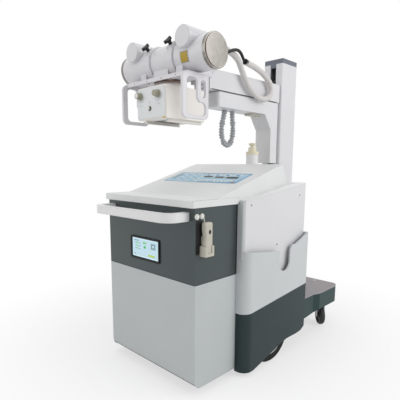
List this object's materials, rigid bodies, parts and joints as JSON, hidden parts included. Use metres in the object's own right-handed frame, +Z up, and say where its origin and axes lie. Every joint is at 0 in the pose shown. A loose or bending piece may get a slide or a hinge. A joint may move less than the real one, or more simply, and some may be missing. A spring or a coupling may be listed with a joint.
{
  "type": "portable x-ray machine",
  "caption": "Ward x-ray machine on wheels with a sloping console, square column, lifting arm and a tilting tube head over side cassette pockets",
  "frame": {"origin": "middle of the machine's footprint, on the floor", "axes": "+X to the machine's right side, the one in the picture's view; +Y forward, from the push handle to the column; +Z up"},
  "size_m": [0.778, 1.396, 1.699],
  "materials": {
    "frame_steel": "satin",
    "steel": "satin",
    "dark_panel": "matte",
    "platform_top": "satin",
    "cabinet_paint": "satin",
    "band_paint": "satin",
    "black_plastic": "matte",
    "screen": "gloss",
    "white_panel": "satin",
    "membrane": "satin",
    "cover_panel": "satin",
    "shell_panel": "satin",
    "light_plastic": "satin",
    "beige_plastic": "satin",
    "column_paint": "satin",
    "tyre": "matte",
    "rim": "satin",
    "caster_rubber": "matte",
    "cap_plastic": "matte",
    "black_metal": "matte",
    "arm_paint": "satin",
    "arm_cover": "satin",
    "hose": "matte",
    "tube_paint": "satin",
    "tube_band": "satin",
    "grip_plastic": "satin",
    "collimator_plastic": "satin",
    "cable": "matte"
  },
  "bodies": {
    "chassis": {"base_frame": "frame_steel", "side_frames": "frame_steel", "caster_deck": "frame_steel", "drive_axle": "steel", "generator_block": "frame_steel", "platform": "dark_panel", "platform_cover": "platform_top", "cabinet_panel": "cabinet_paint", "control_band": "band_paint", "screen_bezel": "black_plastic", "screen_glass": "screen", "push_handle": "white_panel", "console_top": "white_panel", "membrane_panel": "membrane", "side_cover_left": "cover_panel", "side_cover_right": "cover_panel", "shell_left": "shell_panel", "shell_right": "shell_panel", "skirt_left": "dark_panel", "skirt_right": "dark_panel", "front_panel": "cover_panel", "side_plugs": "light_plastic", "switch_holder": "beige_plastic", "hand_switch": "beige_plastic", "park_post": "column_paint", "park_latch": "beige_plastic"},
    "wheel_left": {"tyre_left": "tyre", "rim_left": "rim"},
    "wheel_right": {"tyre_right": "tyre", "rim_right": "rim"},
    "caster_left": {"caster_fork_left": "steel"},
    "caster_right": {"caster_fork_right": "steel"},
    "caster_roll_left": {"caster_wheel_left": "caster_rubber"},
    "caster_roll_right": {"caster_wheel_right": "caster_rubber"},
    "mast": {"column": "column_paint", "column_cap": "cap_plastic"},
    "arm": {"carriage": "black_metal", "arm_beam": "arm_paint", "upper_arm": "arm_cover", "catch_pad": "beige_plastic", "lower_hose": "hose"},
    "swivel": {"yoke": "arm_cover", "clamp_knobs": "black_plastic", "upper_hose": "hose"},
    "head": {"tube_housing": "tube_paint", "tube_caps": "tube_band", "cradle": "tube_paint", "grip_left": "grip_plastic", "grip_right": "grip_plastic", "hv_leads": "cable"},
    "light_box": {"collimator": "collimator_plastic", "collimator_panel": "collimator_plastic", "collimator_knobs": "beige_plastic"}
  },
  "joints": [
    {"name": "wheel_left_spin", "type": "hinge", "parent": "chassis", "child": "wheel_left", "pos_m": [-0.343, -0.036, 0.155], "axis": [1, 0, 0], "continuous": true},
    {"name": "wheel_right_spin", "type": "hinge", "parent": "chassis", "child": "wheel_right", "pos_m": [0.343, -0.036, 0.155], "axis": [1, 0, 0], "continuous": true},
    {"name": "caster_left_swivel", "type": "hinge", "parent": "chassis", "child": "caster_left", "pos_m": [-0.289, 0.646, 0.16], "axis": [0, 0, 1], "continuous": true},
    {"name": "caster_right_swivel", "type": "hinge", "parent": "chassis", "child": "caster_right", "pos_m": [0.289, 0.646, 0.16], "axis": [0, 0, 1], "continuous": true},
    {"name": "caster_left_spin", "type": "hinge", "parent": "caster_left", "child": "caster_roll_left", "pos_m": [-0.31375, 0.62125, 0.0625], "axis": [0.7071, -0.7071, 0], "continuous": true},
    {"name": "caster_right_spin", "type": "hinge", "parent": "caster_right", "child": "caster_roll_right", "pos_m": [0.31375, 0.62125, 0.0625], "axis": [0.7071, 0.7071, 0], "continuous": true},
    {"name": "column_turn", "type": "hinge", "parent": "chassis", "child": "mast", "pos_m": [0, 0.5235, 0.277], "axis": [0, 0, 1], "range_deg": [-170, 170]},
    {"name": "arm_lift", "type": "slide", "parent": "mast", "child": "arm", "axis": [0, 0, 1], "range_m": [-0.153, 0.07], "deforming": ["lower_hose"]},
    {"name": "head_roll", "type": "hinge", "parent": "arm", "child": "swivel", "pos_m": [0, -0.205, 1.485], "axis": [0, 1, 0], "range_deg": [-90, 90], "deforming": ["upper_hose"]},
    {"name": "head_pitch", "type": "hinge", "parent": "swivel", "child": "head", "pos_m": [0, -0.422, 1.525], "axis": [1, 0, 0], "range_deg": [-90, 20], "deforming": ["hv_leads"]},
    {"name": "collimator_turn", "type": "hinge", "parent": "head", "child": "light_box", "pos_m": [0, -0.422, 1.42], "axis": [0, 0, 1], "range_deg": [-90, 90]}
  ]
}
